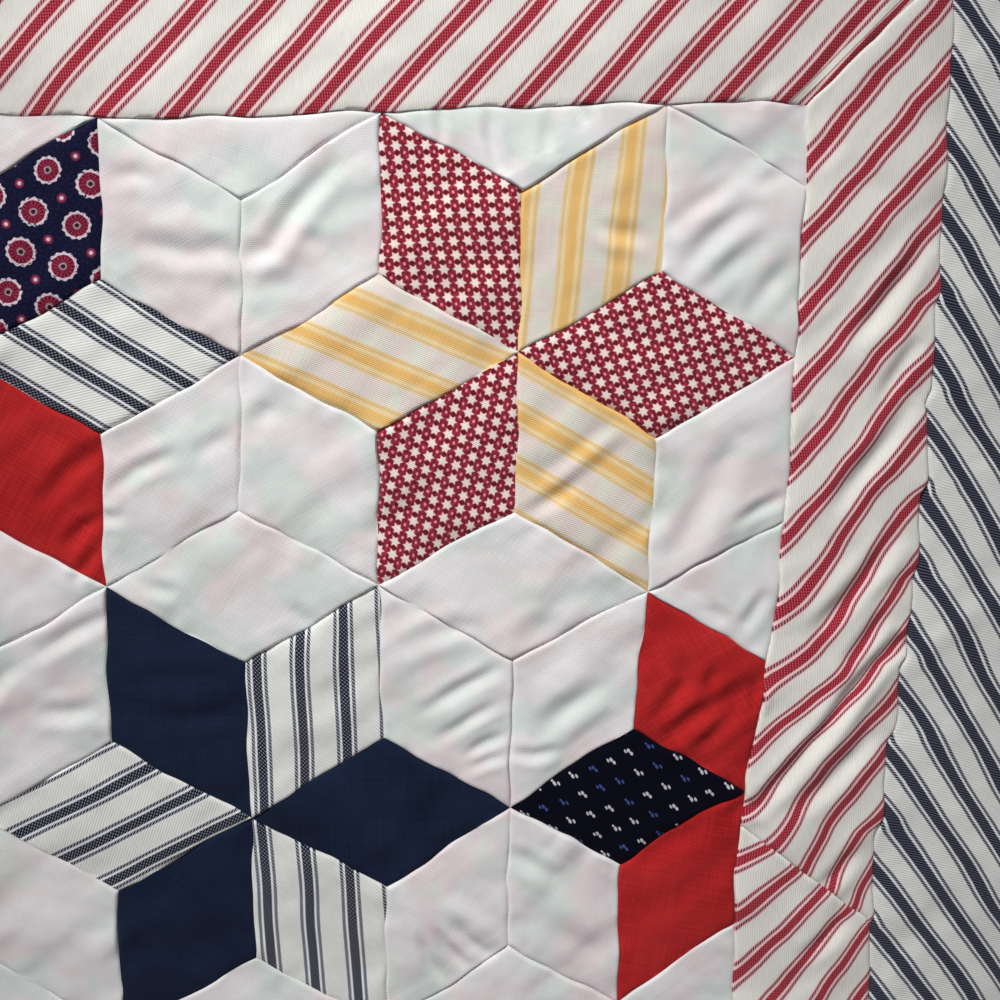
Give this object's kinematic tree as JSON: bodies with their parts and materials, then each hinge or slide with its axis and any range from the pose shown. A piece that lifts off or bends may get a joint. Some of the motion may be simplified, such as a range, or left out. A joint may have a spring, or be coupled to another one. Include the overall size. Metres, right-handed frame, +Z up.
{
  "type": "star patchwork quilt blanket",
  "caption": "Small quilted blanket pieced from diamond stars on a white ground, with a red and a navy striped mitred border, lying flat.",
  "frame": {"origin": "middle of the flat underside, on the surface that the quilt lies on", "axes": "+Z up out of the pieced face, +Y along the quilt's length towards its head end, +X to the right seen face on"},
  "size_m": [0.9278, 0.9858, 0.0054],
  "materials": {
    "patchwork": "matt plain-weave cotton patches, white muslin with coloured stars",
    "red_ticking": "matt cotton twill with red woven stripes",
    "navy_ticking": "matt cotton twill with navy woven stripes"
  },
  "bodies": {
    "root": {"star_field": "patchwork", "red_border_top": "red_ticking", "red_border_bottom": "red_ticking", "red_border_left": "red_ticking", "red_border_right_upper": "red_ticking", "red_border_right_lower": "red_ticking", "navy_border_top": "navy_ticking", "navy_border_right": "navy_ticking", "navy_border_bottom": "navy_ticking", "navy_border_left": "navy_ticking"}
  },
  "joints": []
}
